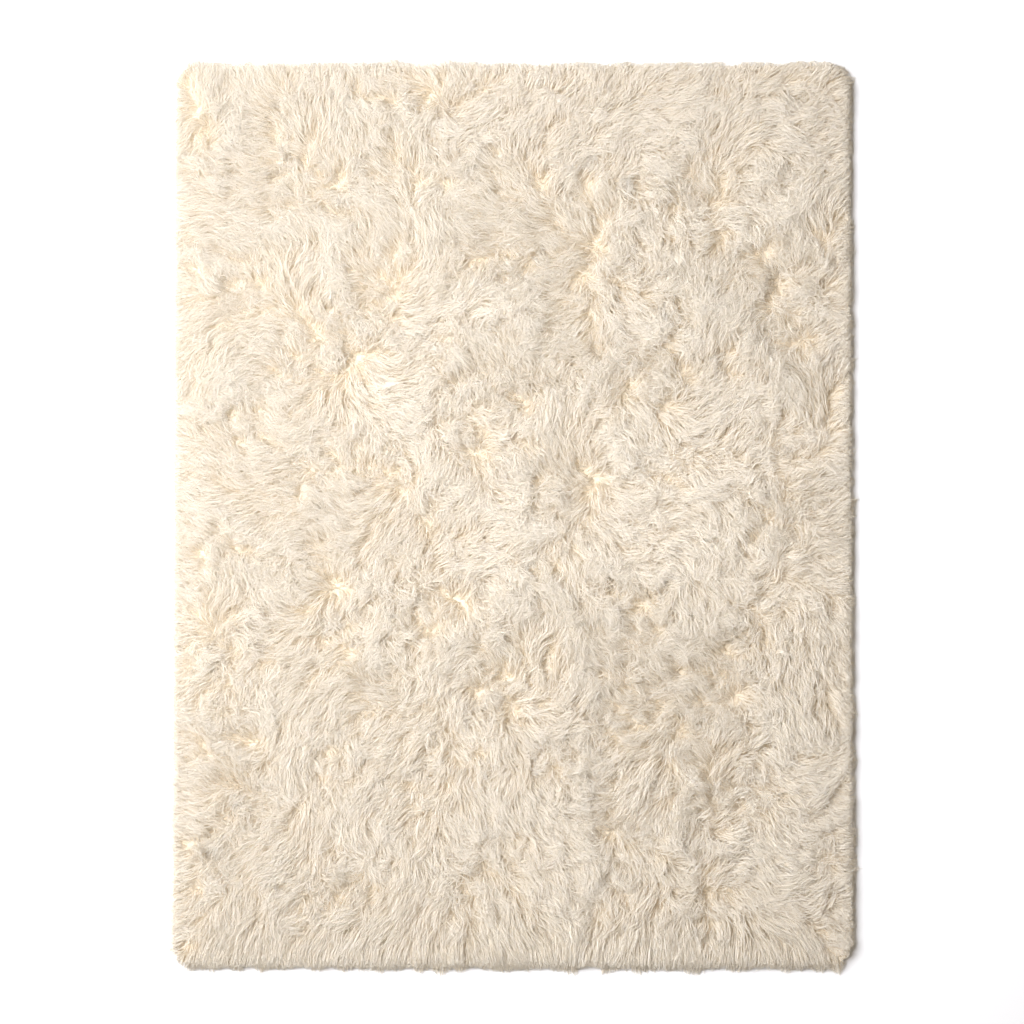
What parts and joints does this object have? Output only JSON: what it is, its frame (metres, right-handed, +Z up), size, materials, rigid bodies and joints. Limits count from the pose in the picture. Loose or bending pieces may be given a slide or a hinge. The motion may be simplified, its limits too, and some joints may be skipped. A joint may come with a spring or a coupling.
{
  "type": "area rug",
  "caption": "Rectangular long-pile faux-fur area rug with rounded corners, foam core, bound edge and dotted anti-slip underside.",
  "frame": {"origin": "on the floor under the middle of the rug", "axes": "+Y along the rug's length, +X across its width, +Z up out of the pile"},
  "size_m": [1.24, 1.64, 0.0551],
  "materials": {
    "fur": "silky ivory faux-fur fibre, brushed",
    "knit": "matte warp-knitted cloth",
    "latex": "dull dried latex",
    "foam": "open-cell foam, matte",
    "base_cloth": "matte needled non-woven",
    "grip": "soft satin plastic dots",
    "tape": "matte twill tape",
    "thread": "polyester sewing thread, slight sheen",
    "label": "satin ribbon, blank"
  },
  "bodies": {
    "root": {"pile": "fur", "ground_cloth": "knit", "latex_coat": "latex", "foam_core": "foam", "base_cloth": "base_cloth", "grip_dots": "grip", "binding_tape": "tape", "seam_thread_top": "thread", "seam_thread_under": "thread", "care_label": "label", "label_thread": "thread"}
  },
  "joints": []
}
